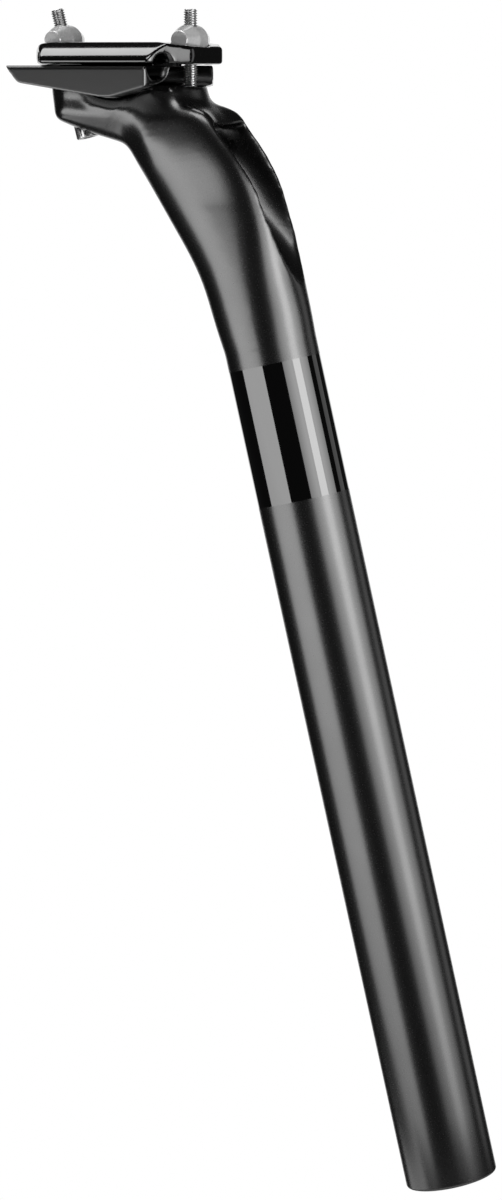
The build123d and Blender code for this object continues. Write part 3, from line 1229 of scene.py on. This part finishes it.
@dataclass
class Studio:
    """Pale floor, pale backdrop and soft boxes, in metres and degrees.

    Attributes:
        camera: The camera that the lamps are set from.
        floor_height: Height of the floor.
        floor_radius: Radius of the floor.
        floor_sides: Sides of the floor's disc.
        floor_fade: Where the floor starts to fade, as a share of its radius.
        floor_shade: Linear brightness of the floor.
        floor_play: How far that brightness strays.
        floor_cloud: Waves of that per metre.
        room: Brightness of the room round the camera.
        backdrop: Half angle of the white backdrop behind the post.
        backdrop_edge: Half width of the backdrop's soft edge, in the cosine of that angle.
        boxes: The lamps.
    """

    camera: PhotoCamera
    floor_height: float = -0.35
    floor_radius: float = 1.1
    floor_sides: int = 96
    floor_fade: float = 0.3
    floor_shade: float = 0.8
    floor_play: float = 0.03
    floor_cloud: float = 30.0
    room: float = 0.02
    backdrop: float = 22.0
    backdrop_edge: float = 0.02
    boxes: list[SoftBox] = field(default_factory=lambda: [
        SoftBox("left_box", bearing=-62.0, distance=0.6, height=0.11, width=0.64, tall=0.48, radiance=2.4,
                aim_height=0.11, roll=-12.0, foot=0.55),
        SoftBox("right_box", bearing=54.5, distance=0.6, height=0.1, width=0.87, tall=0.5, radiance=2.5,
                aim_height=0.1, foot=0.4, side=0.55),
        SoftBox("right_core", bearing=55.0, distance=0.58, height=0.1, width=0.2, tall=0.5, radiance=2.2,
                aim_height=0.1, foot=0.4),
        SoftBox("low_box", bearing=-100.0, distance=0.72, height=-0.33, width=0.9, tall=0.3, radiance=1.1,
                aim_height=0.33),
        SoftBox("top_box", bearing=-174.0, distance=0.234, height=1.1, width=0.8, tall=0.34, radiance=3.4,
                aim_height=0.335),
        SoftBox("head_box", bearing=12.0, distance=0.42, height=0.83, width=0.34, tall=0.32, radiance=3.6,
                aim_height=0.35),
        SoftBox("rear_right_box", bearing=118.0, distance=0.9, height=0.1, width=0.3, tall=0.7, radiance=0.4,
                aim_height=0.1),
    ])

    def world(self) -> None:
        """Sets the world: white behind the post and to the camera, dim elsewhere."""
        world = bpy.data.worlds.new("studio_world")
        bpy.context.scene.world = world
        world.use_nodes = True
        sheet = NodeSheet(world.node_tree)
        output = sheet.add("ShaderNodeOutputWorld")
        place = sheet.add("ShaderNodeTexCoord").outputs["Generated"]
        dot = sheet.add("ShaderNodeVectorMath", operation="DOT_PRODUCT")
        sheet.link(place, dot.inputs[0])
        dot.inputs[1].default_value = -self.camera.toward()
        edge = math.cos(math.radians(self.backdrop))
        behind = sheet.span(dot.outputs["Value"], (edge - self.backdrop_edge, edge + self.backdrop_edge))
        rays = sheet.add("ShaderNodeLightPath")
        seen = sheet.math("MAXIMUM", rays.outputs["Is Glossy Ray"], rays.outputs["Is Transmission Ray"])
        seen = sheet.math("MULTIPLY", seen, behind)
        white = sheet.math("MAXIMUM", rays.outputs["Is Camera Ray"], seen)
        background = sheet.add("ShaderNodeBackground")
        sheet.link(sheet.mix(Mix.RGBA, white, grey(self.room), grey(1.0)), background.inputs["Color"])
        sheet.link(background.outputs[0], output.inputs["Surface"])

    def floor_material(self) -> bpy.types.Material:
        """Builds the floor's material, which fades out to its edge.

        Returns:
            The material.
        """
        made = bpy.data.materials.new("pale_floor")
        made.use_nodes = True
        sheet = NodeSheet(made.node_tree)
        output = sheet.add("ShaderNodeOutputMaterial")
        place = sheet.add("ShaderNodeTexCoord").outputs["Object"]
        level = sheet.add("ShaderNodeVectorMath", operation="MULTIPLY")
        sheet.link(place, level.inputs[0])
        level.inputs[1].default_value = (1.0, 1.0, 0.0)
        length = sheet.add("ShaderNodeVectorMath", operation="LENGTH")
        sheet.link(level.outputs["Vector"], length.inputs[0])
        fade = sheet.span(length.outputs["Value"], (self.floor_fade * self.floor_radius, self.floor_radius))
        patches = sheet.noise(place, self.floor_cloud)
        dim, bright = grey(self.floor_shade), grey(self.floor_shade + self.floor_play)
        colour = sheet.mix(Mix.RGBA, patches, dim, bright)
        shader = sheet.add("ShaderNodeBsdfDiffuse")
        sheet.link(colour, shader.inputs["Color"])
        clear = sheet.add("ShaderNodeBsdfTransparent")
        mixed = sheet.add("ShaderNodeMixShader")
        for target, source in zip(mixed.inputs, (fade, shader.outputs[0], clear.outputs[0])):
            sheet.link(source, target)
        sheet.link(mixed.outputs[0], output.inputs["Surface"])
        return made

    def floor(self) -> None:
        """Makes the floor, a disc that fades into the backdrop."""
        shape = bmesh.new()
        bmesh.ops.create_circle(shape, cap_ends=True, segments=self.floor_sides, radius=self.floor_radius)
        floor = mesh_object("studio_floor", shape)
        floor.data.transform(Matrix.Translation((0.0, 0.0, self.floor_height)))
        floor.data.materials.append(self.floor_material())

    def build(self) -> None:
        """Sets the world, the floor, the lamps and the view."""
        self.world()
        self.floor()
        for box in self.boxes:
            box.build(self.camera)
        bpy.context.scene.view_settings.view_transform = "Standard"


def main() -> None:
    """Builds and dresses every piece, then the studio."""
    logging.basicConfig(level=logging.INFO, format="%(name)s: %(message)s")
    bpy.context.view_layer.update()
    rails = ClampFrame()
    post = SATIN_POST.material()
    gloss = GLOSS_CLAMP.material()
    satin = SATIN_CLAMP.material()
    bolt_steel = BOLT_STEEL.material()
    nut_steel = NUT_STEEL.material()
    for washer in CarriedNodes(("front_washer", "rear_washer"), bolt_steel).dress():
        log.info("dressed %s", washer.name)
    pieces: list[DressedPiece] = [
        PostBody("post_body", "seatpost", Body.POST, Slot.POST, post, rails, smooth_angle=50.0),
        SoftPiece("upper_clamp_eased", "upper_clamp", Body.CLAMP, Slot.CLAMP, gloss, rails,
                  smooth_angle=60.0, cell=0.00032, passes=14, spots=UPPER_CLAMP_SPOTS),
        SoftPiece("lower_clamp_eased", "lower_clamp", Body.CLAMP, Slot.CLAMP, satin, rails,
                  smooth_angle=60.0, cell=0.00028, passes=3, spots=LOWER_CLAMP_SPOTS),
        SoftPiece("front_nut_eased", "front_nut", Body.FRONT_BARREL, Slot.NUT, nut_steel, rails,
                  smooth_angle=60.0, cell=0.0002, passes=4),
        SoftPiece("rear_nut_eased", "rear_nut", Body.REAR_BARREL, Slot.NUT, nut_steel, rails,
                  smooth_angle=60.0, cell=0.0002, passes=4),
        ClampBolt("front_bolt_threaded", "front_bolt", Body.POST, Slot.BOLT, bolt_steel, rails,
                  smooth_angle=35.0, place_along=0.01915, lean=0.0),
        ClampBolt("rear_bolt_threaded", "rear_bolt", Body.REAR_SCREW, Slot.BOLT, bolt_steel, rails,
                  smooth_angle=35.0, place_along=-0.0187, lean=14.8),
    ]
    for piece in pieces:
        log.info("built %s", piece.build().name)
    camera = PhotoCamera()
    camera.build()
    Studio(camera).build()


if __name__ == "__main__":
    main()
